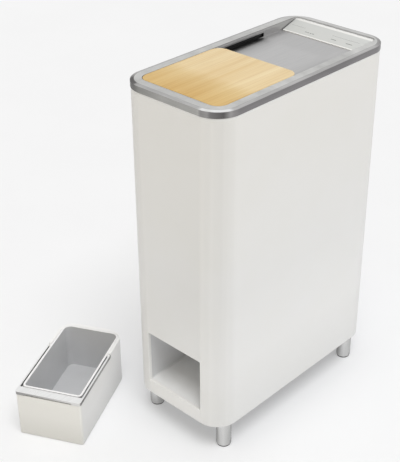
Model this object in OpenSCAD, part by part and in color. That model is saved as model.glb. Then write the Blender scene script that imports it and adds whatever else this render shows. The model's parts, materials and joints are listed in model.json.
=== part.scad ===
// Electric food waste composter on four legs, with a sliding wooden lid, a mixing
// chamber, and a compost drawer that stands on the floor beside the cabinet.
// Millimetres. The origin is on the floor under the cabinet's centre, +Z is up,
// the drawer bay opens towards -Y and the control panel lies at the +Y end.

/* [Cabinet] */
// Width of the white shell
body_w = 280; // [276:1:292]
// Depth of the white shell, front to back
body_d = 563; // [560:1:580]
// Height of the white shell without legs and rim
shell_h = 772; // [768:1:800]
// Radius of the vertical corners
corner_r = 57; // [54:1:60]
// Thickness of the shell wall
wall = 2.5; // [2:0.5:3]
// Height of the legs
leg_h = 74; // [60:1:90]
// Radius of the legs
leg_r = 18; // [15:0.5:20]
// Distance of the leg axes from the shell's sides
leg_inset_x = 29; // [28:0.5:31]
// Distance of the leg axes from the shell's front and back
leg_inset_y = 49; // [47:0.5:52]

/* [Top] */
// Height of the steel rim
rim_h = 16; // [15:0.5:18]
// How far the rim stands out from the shell
rim_overhang = 1; // [0.5:0.5:2]
// Width of the sloping shoulder along the rim's outer edge
rim_shoulder = 9; // [7:0.5:12]
// Fall of the shoulder towards the outer edge
shoulder_drop = 1.7; // [1:0.1:2.5]
// Rounding of the rim's upper outer edge
rim_round = 1.2; // [0.8:0.1:2]
// Depth of the recess from the rim's top to the deck
recess_depth = 20; // [20:0.5:22]
// Width of the wooden lid
lid_w = 227; // [222:0.5:229]
// Length of the wooden lid
lid_len = 244.5; // [242:0.5:247]
// Thickness of the wood
lid_t = 12; // [11:0.5:12.5]
// Radius of the lid's front corners
lid_front_r = 24; // [20:1:28]
// Radius of the lid's rear corners
lid_rear_r = 24; // [18:1:26]
// How far the lid slides back
lid_travel = 190; // [170:1:192]
// Length of the control panel's slope, seen from above
panel_run = 50; // [46:1:54]
// Height of the control panel at its back edge
panel_rise = 17; // [15:0.5:18]
// Corner radius at the back of the recess and of the control panel
panel_corner_r = 12; // [10:0.5:16]

/* [Chamber] */
// Inner radius of the mixing chamber's trough
chamber_r = 100; // [97:1:101]
// Inner length of the mixing chamber
chamber_len = 304; // [300:1:306]
// Height of the agitator shaft above the floor
shaft_z = 500; // [495:1:510]
// Reach of the paddles from the shaft's axis
paddle_reach = 92; // [85:1:94]
// Number of paddles along the shaft
paddle_count = 5; // [4:1:5]
// Travel of the discharge gate
gate_travel = 130; // [126:1:131]

/* [Drive] */
// Teeth of the gear on the agitator shaft
gear_teeth = 48; // [44:4:48]
// Teeth of the motor's pinion
pinion_teeth = 16; // [16:4:20]
// Module of the gear teeth
gear_module = 2.5; // [2.4:0.1:2.5]
// Radius of the gear motor
motor_r = 34; // [28:1:34]

/* [Ventilation] */
// Outer size of the square fan
fan_size = 100; // [96:1:104]
// Height of the fan's axis above the floor
fan_z = 680; // [676:1:682]
// Number of fan blades
fan_blades = 7; // [5:1:9]
// Number of slots in the rear vent panel
vent_slots = 9; // [7:1:9]

/* [Drawer] */
// Width of the drawer
drawer_w = 162; // [156:0.5:162.5]
// Length of the drawer
drawer_len = 287; // [276:0.5:290]
// Height of the drawer
drawer_h = 128; // [122:1:134]
// Radius of the drawer's front corners
drawer_front_r = 5; // [4:0.5:8]
// Radius of the drawer's rear corners
drawer_rear_r = 38; // [34:1:42]
// Depth of the step that the handle lies in
handle_drop = 10; // [9.6:0.1:12]
// Clear width of the drawer bay
bay_w = 165; // [164:0.5:166]
// Clear height of the drawer bay
bay_h = 138; // [136:1:142]
// Height of the bay's floor above the shell's lower edge
bay_sill = 36.5; // [36:0.5:38]
// Distance of the handle's pivots behind the drawer's middle
pivot_y = 44; // [36:1:52]
// How far the handle stands out over the drawer's sides and front
handle_reach = 1; // [0.4:0.2:1]
// Where the drawer stands beside the cabinet, across
drawer_x = -258.2; // [-300:0.1:-255]
// Where the drawer stands beside the cabinet, front to back
drawer_y = -374.4; // [-420:0.1:-370]
// Turn of the drawer, anticlockwise from above
drawer_turn = 26.7; // [20:0.1:32]

/* [Hidden] */
$fn = 96;
eps = 0.01;
fit_gap = 0.3;
shaft_gap = 0.05;
skin_gap = 0.1;

// Levels from the floor up
base_z = leg_h;
shell_top = leg_h + shell_h;
top_z = shell_top + rim_h;
deck_t = 2;
deck_z = top_z - recess_depth;
deck_under = deck_z - deck_t;

// Outlines of the shell's parts
front_y = -body_d / 2;
back_y = body_d / 2;
inner_w = body_w - 2 * wall;
inner_d = body_d - 2 * wall;
inner_r = corner_r - wall;
rim_t = 2;
rim_band = 6;
rim_r = corner_r + rim_overhang;
rim_w = body_w + 2 * rim_overhang;
rim_d = body_d + 2 * rim_overhang;

// Recess in the top
lid_gap = 0.8;
open_w = lid_w + 2 * lid_gap;
open_front = front_y + 27;
open_back = back_y - 17.5;
recess_wall = 2;
slot_low = deck_z + 1.2;
slot_high = deck_z + 10.3;

// Lid, its shoes and the slots that guide them
lid_front = open_front + lid_gap;
lid_back = lid_front + lid_len;
lid_under = top_z - lid_t;
carrier_low = deck_z + 4.5;
carrier_inset = 3;
shoe_len = 50;
shoe_reach = 5.5;
shoe_front = lid_front + 42;
shoe_back = lid_back - 86.6;
slot_front = shoe_front - fit_gap;
slot_back = shoe_back + shoe_len + lid_travel + fit_gap;
rail_w = 7;

// Feed opening under the lid
feed_w = 184;
feed_front = lid_front + 20;
feed_back = lid_front + 184;
feed_r = 20;
seal_w = 5;
seal_h = 4.2;

// Control panel
panel_gap = 1.2;
panel_wall = 2.5;
panel_flat = 4;
panel_front = open_back - fit_gap - panel_run - panel_flat;
panel_lip = 1.5;
board_t = 1.6;

// Mixing chamber
sheet = 2;
chamber_front = front_y + 35.5;
chamber_back = chamber_front + chamber_len;
chamber_top = deck_under - 99;
flange_t = 3;
flange_w = 18;
cover_t = 3;
shaft_r = 9;
bush_r = 13;
bush_flange_r = 18;
bush_flange_t = 3;

// Discharge gate and chute
drop_w = 84;
drop_front = chamber_front + 64;
drop_back = drop_front + 124;
duct_t = 2;
gate_t = 3.4;
gate_overlap = 8;
gate_frame_t = 6;
rod_r = 4;
rod_end = drop_back + 163;
actuator_r = 11;
actuator_front = drop_back + 150;
actuator_back = rod_end + gate_travel + 7;

// Gear drive behind the chamber
gear_w = 16;
gear_y = chamber_back + 14;
gear_centres = gear_module * (gear_teeth + pinion_teeth) / 2;
pinion_z = shaft_z - gear_centres;
backlash = 0.12;
bracket_t = 3;
bracket_y = gear_y + gear_w + 5;
motor_len = 104;
motor_boss_r = 12;
motor_shaft_r = 5;
motor_clearance = 1.3;
gate_z = min(shaft_z - chamber_r - 28, pinion_z - motor_r - motor_clearance - actuator_r - gate_t / 2);
rod_z = gate_z + gate_t / 2;

// Inner frame
post = 15;
post_x = (chamber_r + sheet + inner_w / 2 - post) / 2;
post_gap = 1;
post_y = body_d / 2 - 76.5;
rail_z = chamber_top - flange_t - post;
mid_rail_z = shaft_z + 45;
bay_beam_y = -20;

// Drawer bay
bay_t = 3;
bay_floor = base_z + bay_sill;
bay_back = front_y + drawer_len + 9.5;
bay_corner = 3;
return_len = 5;

// Fan, filter and rear openings
fan_t = 26;
fan_hole_r = fan_size / 2 - 6;
fan_hub_r = 15;
fan_y = back_y - wall - fan_t;
duct_y = chamber_back + sheet;
vent_w = 88;
vent_panel_w = 140;
vent_panel_h = 150;
vent_panel_t = 1.8;
vent_pitch = 11;
inlet_z = base_z + 36;
board_len = 150;
board_front = back_y - 41.5 - board_len;

// Drawer, in its own frame with the origin on the floor under its centre
glide_h = 2;
tub_t = 3;
ledge_z = drawer_h - handle_drop;
upstand_w = 6;
rear_rim_w = 9;
lug_w = 2.7;
arm_w = 3;
handle_low = ledge_z + fit_gap;
handle_high = drawer_h - 1;
pivot_z = (handle_low + handle_high) / 2;
pivot_r = 2.5;
arm_end_r = (handle_high - handle_low) / 2;
upstand_front = pivot_y + arm_end_r + 0.6;
handle_depth = 20;
grip_inset = 22;
bin_t = 2;
bin_lip = 3;
bin_lip_w = drawer_w - 2 * upstand_w - 1;
bin_w = bin_lip_w - 2 * bin_lip;
bin_front = -drawer_len / 2 + handle_depth + 1 + bin_lip;
bin_back = drawer_len / 2 - rear_rim_w - 0.5 - bin_lip;

WHITE = [0.93, 0.92, 0.90];
LIGHT_GREY = [0.80, 0.81, 0.81];
STEEL = [0.72, 0.72, 0.71];
DARK = [0.12, 0.12, 0.13];
WOOD = [0.87, 0.76, 0.55];
GREEN = [0.10, 0.34, 0.20];

// Shared shapes

// Rectangle about the origin with four equal round corners
module round_rect(w, d, r) {
    square([w - 2 * r, d], center = true);
    square([w, d - 2 * r], center = true);
    for (sx = [-1, 1], sy = [-1, 1])
        translate([sx * (w / 2 - r), sy * (d / 2 - r)]) circle(r);
}

// Slot about the origin with round ends
module slot(w, r) {
    square([w - 2 * r, 2 * r], center = true);
    for (sx = [-1, 1]) translate([sx * (w / 2 - r), 0]) circle(r);
}

// Rectangle from y0 to y1 with its own radius at the front and at the back
module tub_outline(w, y0, y1, rf, rb) {
    translate([-w / 2 + rf, y0]) square([w - 2 * rf, rf]);
    translate([-w / 2, y0 + rf]) square([w, y1 - y0 - rf - rb]);
    translate([-w / 2 + rb, y1 - rb]) square([w - 2 * rb, rb]);
    for (sx = [-1, 1]) {
        translate([sx * (w / 2 - rf), y0 + rf]) circle(rf);
        translate([sx * (w / 2 - rb), y1 - rb]) circle(rb);
    }
}

// Upright prism between two levels
module upright(z0, z1) {
    translate([0, 0, z0]) linear_extrude(z1 - z0) children();
}

// Prism along Y between two places; the outline's second axis becomes Z
module along_y(y0, y1) {
    translate([0, y1, 0]) rotate([90, 0, 0]) linear_extrude(y1 - y0) children();
}

// Round bar along Y at the height z
module rod_y(r, y0, y1, z, x = 0) {
    translate([x, y0, z]) rotate([-90, 0, 0]) cylinder(r = r, h = y1 - y0);
}

// Box from one corner to the opposite one
module block(low, high) {
    translate(low) cube(high - low);
}

// Square-sectioned box with both ends open
module duct(x, y0, y1, z0, z1, t) {
    difference() {
        block([-x, y0, z0], [x, y1, z1]);
        block([-x + t, y0 + t, z0 - 1], [x - t, y1 - t, z1 + 1]);
    }
}

// A profile carried round a rounded rectangle; its x axis is the distance from the corner's centre
module carried_round(w, d, r) {
    for (sx = [-1, 1], sy = [-1, 1])
        translate([sx * (w / 2 - r), sy * (d / 2 - r), 0])
            rotate(sx > 0 ? (sy > 0 ? 0 : -90) : (sy > 0 ? 90 : 180))
                rotate_extrude(angle = 90) children();
    for (side = [0, 180]) {
        rotate(side) translate([w / 2 - r, d / 2 - r, 0])
            rotate([90, 0, 0]) linear_extrude(d - 2 * r) children();
        rotate(side) translate([-w / 2 + r, d / 2 - r, 0])
            rotate([90, 0, 90]) linear_extrude(w - 2 * r) children();
    }
}

// Place a piece of the drawer where it stands on the floor
module beside_cabinet() {
    translate([drawer_x, drawer_y, 0]) rotate(drawer_turn) children();
}

// Cabinet

module leg_places() {
    for (sx = [-1, 1], sy = [-1, 1])
        translate([sx * (body_w / 2 - leg_inset_x), sy * (body_d / 2 - leg_inset_y), 0])
            children();
}

module vent_screw_places() {
    for (sx = [-1, 1], sz = [-1, 1])
        translate([sx * (vent_panel_w / 2 - 9), back_y, fan_z + sz * (vent_panel_h / 2 - 9)])
            rotate([-90, 0, 0]) children();
}

module bay_mouth(grow) {
    translate([0, bay_floor + bay_h / 2])
        round_rect(bay_w + 2 * grow, bay_h + 2 * grow, bay_corner + grow);
}

module outer_shell() {
    color(WHITE) difference() {
        union() {
            difference() {
                upright(base_z, shell_top) round_rect(body_w, body_d, corner_r);
                upright(base_z - 1, shell_top + 1) round_rect(inner_w, inner_d, inner_r);
            }
            along_y(front_y + wall - eps, front_y + wall + return_len) bay_mouth(wall);
        }
        along_y(front_y - 1, front_y + wall + return_len + 1) bay_mouth(0);
        along_y(back_y - wall - 1, back_y + 1) translate([0, fan_z]) circle(fan_hole_r);
        block([-14.3, back_y - wall - 1, inlet_z - 10.8], [14.3, back_y + 1, inlet_z + 10.8]);
        vent_screw_places() translate([0, 0, -wall - 1]) cylinder(r = 2 + shaft_gap, h = wall + 2);
    }
}

module base_plate() {
    color(LIGHT_GREY) difference() {
        upright(base_z, base_z + 3)
            round_rect(inner_w - 2 * fit_gap, inner_d - 2 * fit_gap, inner_r - fit_gap);
        leg_places() translate([0, 0, base_z - 1]) cylinder(r = 4 + skin_gap, h = 5);
        for (i = [-3:3])
            block([i * 22 - 4, 60, base_z - 1], [i * 22 + 4, 84, base_z + 4]);
    }
}

module legs() {
    color(STEEL) leg_places() {
        translate([0, 0, 5]) cylinder(r = leg_r, h = leg_h - 5);
        translate([0, 0, 3]) cylinder(r = leg_r - 1, h = 2);
        translate([0, 0, leg_h]) cylinder(r = 4, h = 14);
    }
}

module leg_nuts() {
    color(STEEL) leg_places() translate([0, 0, base_z + 3]) difference() {
        cylinder(r = 7.5, h = 6, $fn = 6);
        translate([0, 0, -1]) cylinder(r = 4 + shaft_gap, h = 8);
    }
}

module foot_pads() {
    color(DARK) leg_places() cylinder(r = leg_r - 2, h = 3);
}

module inner_frame() {
    color(STEEL) {
        for (sx = [-1, 1]) {
            side_x = sx > 0 ? post_x : -post_x - post;
            for (y = [-post_y - post, post_y])
                block([side_x, y, base_z + 3], [side_x + post, y + post, deck_under]);
            for (z = [bay_floor - bay_t - post, mid_rail_z, rail_z])
                block([side_x, -post_y, z], [side_x + post, post_y, z + post]);
        }
        for (y = [-post_y - post, bay_beam_y])
            block([-post_x, y, bay_floor - bay_t - post], [post_x, y + post, bay_floor - bay_t]);
    }
}

// Top

module recess_outline(grow) {
    tub_outline(open_w + 2 * grow, open_front - grow, open_back + grow,
                lid_front_r + lid_gap + grow, panel_corner_r + panel_gap + grow);
}

module feed_outline(grow) {
    translate([0, (feed_front + feed_back) / 2])
        round_rect(feed_w + 2 * grow, feed_back - feed_front + 2 * grow, feed_r + grow);
}

module top_deck() {
    color(LIGHT_GREY) difference() {
        union() {
            upright(deck_under, deck_z)
                round_rect(inner_w - 2 * fit_gap, inner_d - 2 * fit_gap, inner_r - fit_gap);
            upright(deck_z - eps, top_z - rim_t) recess_outline(recess_wall);
        }
        upright(deck_z, top_z + 1) recess_outline(0);
        upright(deck_under - 1, deck_z + 1) feed_outline(0);
        block([-open_w / 2 - 5, slot_front, slot_low], [open_w / 2 + 5, slot_back, slot_high]);
    }
}

module top_rim() {
    color(STEEL) {
        translate([0, 0, shell_top]) carried_round(rim_w, rim_d, rim_r) {
            polygon([[rim_r - rim_band, 0],
                     [rim_r, 0],
                     [rim_r, rim_h - shoulder_drop - rim_round],
                     [rim_r - rim_round, rim_h - shoulder_drop],
                     [rim_r - rim_shoulder, rim_h],
                     [rim_r - rim_shoulder, rim_h - rim_t],
                     [rim_r - rim_band, rim_h - rim_t]]);
            translate([rim_r - rim_round, rim_h - shoulder_drop - rim_round]) circle(rim_round);
        }
        difference() {
            upright(top_z - rim_t, top_z)
                round_rect(rim_w - 2 * rim_shoulder, rim_d - 2 * rim_shoulder, rim_r - rim_shoulder);
            upright(top_z - rim_t - 1, top_z + 1) recess_outline(0);
        }
    }
}

module lid_rails() {
    wall_x = open_w / 2 + recess_wall;
    color(DARK) for (sx = [0, 1]) mirror([sx, 0, 0]) difference() {
        block([wall_x, slot_front - 4, deck_z], [wall_x + rail_w, slot_back + 4, slot_high + 2]);
        block([wall_x - 1, slot_front, slot_low],
              [lid_w / 2 + shoe_reach + 2 * fit_gap, slot_back, slot_high]);
    }
}

module hopper_seal() {
    color(DARK) difference() {
        upright(deck_z, deck_z + seal_h) feed_outline(seal_w);
        upright(deck_z - 1, deck_z + seal_h + 1) feed_outline(0);
    }
}

module hopper_throat() {
    color(STEEL) difference() {
        union() {
            upright(chamber_top + cover_t, deck_under) feed_outline(sheet);
            upright(chamber_top + cover_t, chamber_top + cover_t + sheet) feed_outline(9);
            upright(deck_under - sheet, deck_under) feed_outline(9);
        }
        upright(chamber_top, deck_under + 1) feed_outline(0);
    }
}

// Side outline of the control panel, smaller by the given amount
module panel_side(inset) {
    back = open_back - fit_gap - inset;
    low = inset > 0 ? deck_z - 1 : deck_z;
    polygon([[panel_front + inset, low],
             [panel_front + inset, deck_z + panel_lip - inset / 2],
             [panel_front + panel_run, deck_z + panel_rise - inset],
             [back, deck_z + panel_rise - inset],
             [back, low]]);
}

module panel_bar(w, inset) {
    translate([-w / 2, 0, 0]) rotate([90, 0, 90]) linear_extrude(w) panel_side(inset);
}

// What is cut away to round one rear corner of the control panel
module panel_corner(w) {
    back = open_back - fit_gap;
    difference() {
        block([w / 2 - panel_corner_r, back - panel_corner_r, deck_z - 1], [w / 2 + 1, back + 1, top_z]);
        translate([w / 2 - panel_corner_r, back - panel_corner_r, deck_z - 2])
            cylinder(r = panel_corner_r, h = recess_depth + 4);
    }
}

module control_panel() {
    panel_w = open_w - 2 * panel_gap;
    color(WHITE) difference() {
        panel_bar(panel_w, 0);
        for (side = [0, 1]) mirror([side, 0, 0]) panel_corner(panel_w);
        panel_bar(panel_w - 2 * panel_corner_r - 6, panel_wall);
    }
}

module touch_board() {
    board_y = panel_front + 24;
    pad_y = board_y + 6;
    pad_top = deck_z + panel_lip + (pad_y - 3 - panel_front) * (panel_rise - panel_lip) / panel_run;
    color(GREEN) {
        block([-70, board_y, deck_z + 1], [70, board_y + 17, deck_z + 1 + board_t]);
        for (x = [-64, 64]) translate([x, board_y + 8, deck_z]) cylinder(r = 2, h = 1.5);
        for (x = [-50:25:50])
            translate([x, pad_y, deck_z + 1]) cylinder(r = 2.4, h = pad_top - deck_z - 1 - 4.2);
        block([-12, board_y + 10, deck_z + 2], [8, board_y + 16, deck_z + 5]);
    }
}

// Mixing chamber

module trough_outline(grow) {
    translate([0, shaft_z]) circle(chamber_r + grow);
    translate([-chamber_r - grow, shaft_z])
        square([2 * (chamber_r + grow), chamber_top - shaft_z]);
}

// Room for the frame's front posts in the chamber's flange and cover
module post_notches() {
    for (side = [0, 1]) mirror([side, 0, 0])
        block([post_x - post_gap, -post_y - post - post_gap, chamber_top - flange_t - 1],
              [body_w / 2, -post_y + post_gap, chamber_top + cover_t + 1]);
}

module chamber_trough() {
    color(STEEL) difference() {
        union() {
            along_y(chamber_front - sheet, chamber_back + sheet) trough_outline(sheet);
            block([-chamber_r - flange_w, chamber_front - 6, chamber_top - flange_t],
                  [chamber_r + flange_w, chamber_back + 6, chamber_top]);
        }
        along_y(chamber_front, chamber_back) {
            trough_outline(0);
            translate([-chamber_r, shaft_z]) square([2 * chamber_r, chamber_top - shaft_z + 1]);
        }
        rod_y(bush_r + shaft_gap, chamber_front - 5, chamber_back + 5, shaft_z);
        block([-35, chamber_back - 1, fan_z - 30], [35, chamber_back + 3, fan_z + 30]);
        block([-drop_w / 2, drop_front, shaft_z - chamber_r - 9],
              [drop_w / 2, drop_back, shaft_z - chamber_r + 12]);
        post_notches();
    }
}

module chamber_cover() {
    color(STEEL) difference() {
        block([-chamber_r - flange_w, chamber_front - 6, chamber_top],
              [chamber_r + flange_w, chamber_back + 6, chamber_top + cover_t]);
        upright(chamber_top - 1, chamber_top + cover_t + 1) feed_outline(0);
        post_notches();
    }
}

module heater_plate() {
    low_r = chamber_r + sheet + skin_gap;
    color(DARK) difference() {
        rod_y(low_r + 3, drop_back + 14, chamber_back - 6, shaft_z);
        rod_y(low_r, drop_back + 13, chamber_back - 5, shaft_z);
        block([-chamber_r - 10, drop_back + 13, shaft_z - 50],
              [chamber_r + 10, chamber_back - 5, shaft_z + chamber_r + 10]);
    }
}

module bush(y, side) {
    translate([0, y, shaft_z]) rotate([side > 0 ? -90 : 90, 0, 0]) difference() {
        union() {
            translate([0, 0, -sheet]) cylinder(r = bush_r, h = sheet + 6);
            cylinder(r = bush_flange_r, h = bush_flange_t);
        }
        translate([0, 0, -sheet - 1]) cylinder(r = shaft_r + shaft_gap, h = sheet + 8);
    }
}

module shaft_bushes() {
    color(DARK) {
        bush(chamber_front - sheet, -1);
        bush(chamber_back + sheet, 1);
        bush(bracket_y + bracket_t, 1);
    }
}

module agitator_shaft() {
    color(STEEL) {
        rod_y(shaft_r, chamber_front - 12, bracket_y + bracket_t + 8, shaft_z);
    }
}

module paddle() {
    blade = 26;
    difference() {
        union() {
            rotate([-90, 0, 0]) translate([0, 0, -13]) cylinder(r = 16, h = 26);
            block([-6, -5, 12], [6, 5, paddle_reach - 8]);
            translate([0, 0, paddle_reach - blade / 2 - 2]) rotate(35)
                cube([7, 44, blade], center = true);
        }
        rotate([-90, 0, 0]) translate([0, 0, -14]) cylinder(r = shaft_r + shaft_gap, h = 28);
    }
}

module agitator_paddles() {
    pitch = (chamber_len - 70) / (paddle_count - 1);
    color(STEEL) for (i = [0:paddle_count - 1])
        translate([0, chamber_front + 35 + i * pitch, shaft_z])
            rotate([0, i * 144 + 90, 0]) paddle();
}

// Gear drive

function involute(a) = tan(a) * 180 / PI - a;
function flank(teeth, m, r) =
    let (base = m * teeth * cos(20) / 2)
    90 / teeth - backlash * 180 / (PI * m * teeth / 2) + involute(20)
        - involute(acos(min(1, base / r)));
function tooth_radii(teeth, m) = [m * teeth / 2 - 1.25 * m, m * teeth / 2, m * teeth / 2 + m];

module gear_outline(teeth, m) {
    radii = tooth_radii(teeth, m);
    polygon([for (i = [0:teeth - 1], side = [-1, 1], k = [0:2])
        let (r = radii[side < 0 ? k : 2 - k], a = i * 360 / teeth + side * flank(teeth, m, r))
        [r * cos(a), r * sin(a)]]);
}

module driven_gear() {
    rim = gear_module * gear_teeth / 2;
    color(STEEL) difference() {
        union() {
            along_y(gear_y, gear_y + gear_w)
                translate([0, shaft_z]) gear_outline(gear_teeth, gear_module);
            rod_y(18, gear_y - 2, gear_y + gear_w + 2, shaft_z);
        }
        rod_y(shaft_r + shaft_gap, gear_y - 3, gear_y + gear_w + 3, shaft_z);
        for (a = [30:60:330])
            rod_y(rim * 0.19, gear_y - 1, gear_y + gear_w + 1,
                  shaft_z + rim * 0.62 * sin(a), rim * 0.62 * cos(a));
    }
}

module drive_pinion() {
    color(STEEL) {
        along_y(gear_y, gear_y + gear_w) translate([0, pinion_z])
            rotate(180 / pinion_teeth) gear_outline(pinion_teeth, gear_module);
        rod_y(motor_shaft_r, gear_y - 3, bracket_y + bracket_t + 12, pinion_z);
    }
}

module drive_bracket() {
    low = rod_z - actuator_r - 5;
    color(STEEL) difference() {
        block([-post_x - post, bracket_y, low], [post_x + post, bracket_y + bracket_t, mid_rail_z]);
        rod_y(bush_r + shaft_gap, bracket_y - 1, bracket_y + bracket_t + 1, shaft_z);
        rod_y(motor_boss_r + shaft_gap, bracket_y - 1, bracket_y + bracket_t + 1, pinion_z);
        rod_y(actuator_r + shaft_gap, bracket_y - 1, bracket_y + bracket_t + 1, rod_z);
        for (sx = [-1, 1])
            rod_y(22, bracket_y - 1, bracket_y + bracket_t + 1, shaft_z - 30, sx * 76);
    }
}

module gear_motor() {
    face = bracket_y + bracket_t;
    color(DARK) difference() {
        union() {
            rod_y(motor_r, face, face + motor_len - 12, pinion_z);
            rod_y(motor_r - 5, face, face + motor_len, pinion_z);
            rod_y(motor_boss_r, face - bracket_t - 1, face + 1, pinion_z);
        }
        rod_y(motor_shaft_r + shaft_gap, face - 10, face + 14, pinion_z);
        for (y = [20:6:56]) difference() {
            rod_y(motor_r + 1, face + y, face + y + 2.5, pinion_z);
            rod_y(motor_r - 1.5, face + y - 1, face + y + 3.5, pinion_z);
        }
    }
}

// Discharge

module gate_frame() {
    x = drop_w / 2 + gate_overlap;
    color(DARK) difference() {
        union() {
            block([-drop_w / 2 - duct_t, drop_front - duct_t, gate_z + gate_t],
                  [drop_w / 2 + duct_t, drop_back + duct_t, shaft_z - chamber_r + 20]);
            block([-x - 5, drop_front - 9, gate_z - 5],
                  [x + 5, drop_back + 8, gate_z + gate_t + gate_frame_t]);
        }
        rod_y(chamber_r + sheet + skin_gap, drop_front - 20, drop_back + 20, shaft_z);
        block([-drop_w / 2, drop_front, gate_z - 6], [drop_w / 2, drop_back, shaft_z]);
        block([-x - fit_gap, drop_front - 4, gate_z - fit_gap],
              [x + fit_gap, drop_back + 20, gate_z + gate_t + fit_gap]);
    }
}

module discharge_gate() {
    x = drop_w / 2 + gate_overlap;
    color(STEEL) {
        block([-x, drop_front - 4 + fit_gap, gate_z], [x, drop_back + 18, gate_z + gate_t]);
        rod_y(rod_r, drop_back + 12, rod_end, rod_z);
    }
}

module gate_actuator() {
    color(DARK) difference() {
        union() {
            rod_y(actuator_r, actuator_front, actuator_back + 3, rod_z);
            rod_y(actuator_r + 3, actuator_back - 24, actuator_back + 3, rod_z);
        }
        rod_y(rod_r + shaft_gap, actuator_front - 1, actuator_back, rod_z);
    }
}

module discharge_chute() {
    low = bay_floor + bay_h + bay_t;
    color(LIGHT_GREY) {
        duct(drop_w / 2 + duct_t, drop_front - duct_t, drop_back + duct_t, low, gate_z - 5, duct_t);
        difference() {
            block([-drop_w / 2 - 10, drop_front - 10, low],
                  [drop_w / 2 + 10, drop_back + 10, low + duct_t]);
            block([-drop_w / 2, drop_front, low - 1], [drop_w / 2, drop_back, low + 5]);
        }
    }
}

module drawer_bay() {
    y0 = front_y + wall + return_len + fit_gap;
    color(LIGHT_GREY) difference() {
        along_y(y0, bay_back) bay_mouth(bay_t);
        along_y(y0 - 1, bay_back - bay_t) bay_mouth(0);
        block([-drop_w / 2, drop_front, bay_floor + bay_h - 1],
              [drop_w / 2, drop_back, bay_floor + bay_h + bay_t + 1]);
    }
}

// Ventilation

module filter_housing() {
    x = fan_size / 2;
    color(LIGHT_GREY) difference() {
        block([-x, duct_y, fan_z - x], [x, fan_y, fan_z + x]);
        block([-x + duct_t, duct_y - 1, fan_z - x + duct_t],
              [x - duct_t, fan_y + 1, fan_z + x - duct_t]);
    }
}

module filter_cartridge() {
    x = fan_size / 2 - duct_t;
    y0 = duct_y + 60;
    pleats = 11;
    pitch = (2 * x - 8) / pleats;
    color(WHITE) difference() {
        block([-x, y0, fan_z - x], [x, y0 + 70, fan_z + x]);
        for (i = [0:pleats - 1]) {
            left = -x + 4 + i * pitch;
            block([left, y0 - 1, fan_z - x + 4], [left + pitch * 0.35, y0 + 62, fan_z + x - 4]);
            block([left + pitch * 0.5, y0 + 8, fan_z - x + 4],
                  [left + pitch * 0.85, y0 + 71, fan_z + x - 4]);
        }
    }
}

module fan_housing() {
    x = fan_size / 2;
    y1 = fan_y + fan_t;
    color(DARK) {
        difference() {
            block([-x, fan_y, fan_z - x], [x, y1, fan_z + x]);
            rod_y(fan_hole_r, fan_y - 1, y1 + 1, fan_z);
        }
        difference() {
            union() {
                rod_y(fan_hub_r, y1 - 6, y1, fan_z);
                for (a = [30:120:270]) translate([0, y1 - 4, fan_z]) rotate([0, a, 0])
                    block([-3, 0, fan_hub_r - 4], [3, 3, fan_hole_r + 1]);
            }
            rod_y(2 + shaft_gap, y1 - 7, y1 - 1, fan_z);
        }
    }
}

module fan_impeller() {
    mid_y = fan_y + 11;
    color(LIGHT_GREY) {
        rod_y(fan_hub_r, fan_y + 3, fan_y + fan_t - 7, fan_z);
        rod_y(2, fan_y + 3, fan_y + fan_t - 2, fan_z);
        for (i = [0:fan_blades - 1]) translate([0, mid_y, fan_z]) rotate([0, i * 360 / fan_blades, 0])
            rotate([0, 0, 40])
                block([-9, -0.9, fan_hub_r - 4], [9, 0.9, fan_hole_r - 3]);
    }
}

module rear_panel() {
    high = (vent_slots - 1) * vent_pitch;
    color(WHITE) difference() {
        along_y(back_y, back_y + vent_panel_t) translate([0, fan_z])
            round_rect(vent_panel_w, vent_panel_h, 12);
        for (i = [0:vent_slots - 1])
            along_y(back_y - 1, back_y + vent_panel_t + 1)
                translate([0, fan_z - high / 2 + i * vent_pitch]) slot(vent_w, 2.5);
        vent_screw_places() translate([0, 0, -1]) cylinder(r = 2 + shaft_gap, h = vent_panel_t + 2);
    }
}

module panel_screws() {
    color(STEEL) vent_screw_places() {
        translate([0, 0, -8]) cylinder(r = 2, h = 8 + vent_panel_t);
        translate([0, 0, vent_panel_t]) difference() {
            cylinder(r = 4, h = 1.6);
            for (a = [0, 90]) rotate(a) block([-2.5, -0.4, 0.6], [2.5, 0.4, 2]);
        }
    }
}

// Electrics

module board_corners() {
    for (sx = [-1, 1], y = [8, 142]) translate([sx * 82, board_front + y, base_z + 3]) children();
}

module main_board() {
    low = base_z + 3 + 12;
    color(GREEN) difference() {
        translate([0, board_front, low]) difference() {
            union() {
                block([-90, 0, 0], [90, board_len, board_t]);
                block([-80, 30, 1], [-36, 74, 36]);
                block([28, 18, 1], [36, 114, 34]);
                for (x = [-20, 0]) translate([x, 50, 1]) cylinder(r = 9, h = 32);
                for (i = [0:3]) block([-70 + i * 24, 94, 1], [-52 + i * 24, 110, 18]);
                block([-60, 126, 1], [60, 138, 13]);
                block([48, 40, 1], [66, 58, 4]);
            }
            for (i = [0:8]) block([34, 22 + i * 10, 8], [37, 27 + i * 10, 35]);
        }
        board_corners() translate([0, 0, 5]) cylinder(r = 2 + shaft_gap, h = 12);
    }
}

module board_standoffs() {
    color(STEEL) board_corners() {
        cylinder(r = 4, h = 12);
        cylinder(r = 2, h = 12 + board_t);
        translate([0, 0, 12 + board_t]) cylinder(r = 3.5, h = 2);
    }
}

module power_inlet() {
    color(DARK) {
        difference() {
            union() {
                along_y(back_y, back_y + 2) translate([0, inlet_z]) round_rect(48, 28, 6);
                block([-14, back_y - 24, inlet_z - 10.5], [14, back_y + 1, inlet_z + 10.5]);
            }
            block([-12.2, back_y - 16, inlet_z - 8.2], [12.2, back_y + 3, inlet_z + 8.2]);
        }
        for (x = [-7, 0, 7])
            block([x - 1, back_y - 17, inlet_z - 2 + (x == 0 ? 2 : -1)],
                  [x + 1, back_y - 5, inlet_z + 2 + (x == 0 ? 2 : -1)]);
    }
}

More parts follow.
